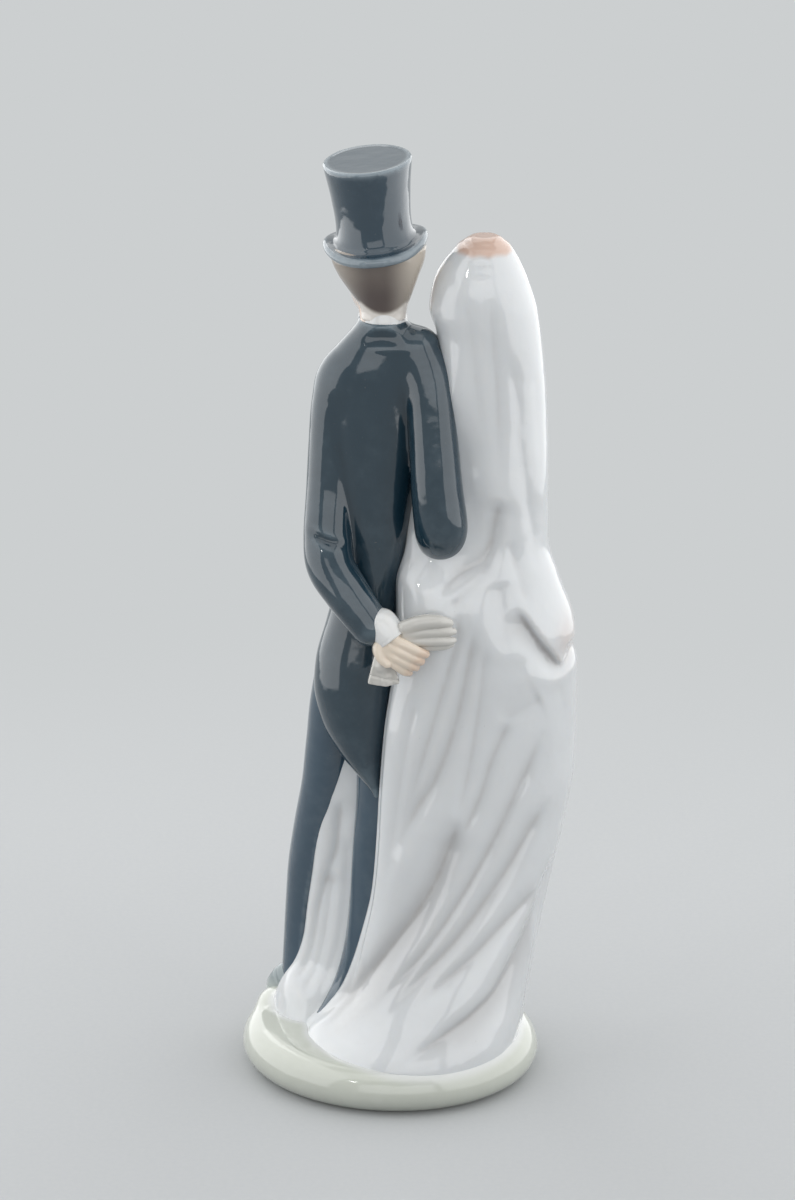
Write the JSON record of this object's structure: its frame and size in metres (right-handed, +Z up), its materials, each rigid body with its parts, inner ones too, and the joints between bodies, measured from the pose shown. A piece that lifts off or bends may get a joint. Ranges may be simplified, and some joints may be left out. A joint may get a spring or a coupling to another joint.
{
  "type": "wedding couple figurine",
  "caption": "Glazed porcelain figurine of a bride in a long veil and a groom in tailcoat and top hat, standing arm in arm on a low oval base.",
  "frame": {"origin": "on the surface it stands on, at the middle of the footprint's bounding box", "axes": "+Z up, the couple faces -Y, the groom stands on the +X side and the bride on the -X side"},
  "size_m": [0.0664, 0.056, 0.187],
  "materials": {
    "base_glaze": "clear glossy glaze over a pale celadon body",
    "white_glaze": "clear glossy glaze over white porcelain",
    "veil_glaze": "clear glossy glaze over cool white porcelain",
    "coat_glaze": "clear glossy glaze over slate blue-grey underglaze",
    "trouser_glaze": "clear glossy glaze over grey-blue underglaze",
    "waistcoat_glaze": "clear glossy glaze over pale grey underglaze",
    "linen_glaze": "clear glossy glaze over white porcelain",
    "skin_glaze": "clear glossy glaze over warm pale skin tint",
    "groom_hair_glaze": "clear glossy glaze over taupe brown that fades at the nape",
    "bride_hair_glaze": "clear glossy glaze over peach brown",
    "glove_glaze": "clear glossy glaze over warm light grey",
    "shoe_glaze": "clear glossy glaze over pale grey-green",
    "rose_glaze": "clear glossy glaze over soft pink",
    "leaf_glaze": "clear glossy glaze over sage green"
  },
  "bodies": {
    "root": {"base": "base_glaze", "left_trouser_leg": "trouser_glaze", "right_trouser_leg": "trouser_glaze", "trouser_seat": "trouser_glaze", "left_shoe": "shoe_glaze", "right_sleeve": "coat_glaze", "left_sleeve": "coat_glaze", "groom_head": "skin_glaze", "shirt_collar": "linen_glaze", "bride_head": "skin_glaze", "gown_bodice": "white_glaze", "gown_skirt": "white_glaze", "skirt_sweep": "white_glaze", "waist_sash": "veil_glaze", "coat_body": "coat_glaze", "coat_tails": "coat_glaze", "waistcoat": "waistcoat_glaze", "shirt_front": "linen_glaze", "right_lapel": "coat_glaze", "left_lapel": "coat_glaze", "bow_tie": "linen_glaze", "boutonniere": "rose_glaze", "left_cuff": "linen_glaze", "right_cuff": "linen_glaze", "gloves": "glove_glaze", "left_hand": "skin_glaze", "right_hand": "skin_glaze", "hat_crown": "coat_glaze", "hat_brim": "coat_glaze", "groom_hair": "groom_hair_glaze", "bride_right_sleeve": "white_glaze", "bride_left_sleeve": "white_glaze", "bouquet_stems": "leaf_glaze", "bride_right_hand": "skin_glaze", "bride_left_hand": "skin_glaze", "bouquet_rose_1": "rose_glaze", "bouquet_rose_2": "rose_glaze", "bouquet_rose_3": "rose_glaze", "bouquet_rose_4": "rose_glaze", "bouquet_rose_5": "rose_glaze", "bouquet_rose_6": "rose_glaze", "bouquet_rose_7": "rose_glaze", "bouquet_leaf_1": "leaf_glaze", "bouquet_leaf_2": "leaf_glaze", "bouquet_leaf_3": "leaf_glaze", "bride_hair": "bride_hair_glaze", "bridal_veil": "veil_glaze"}
  },
  "joints": []
}
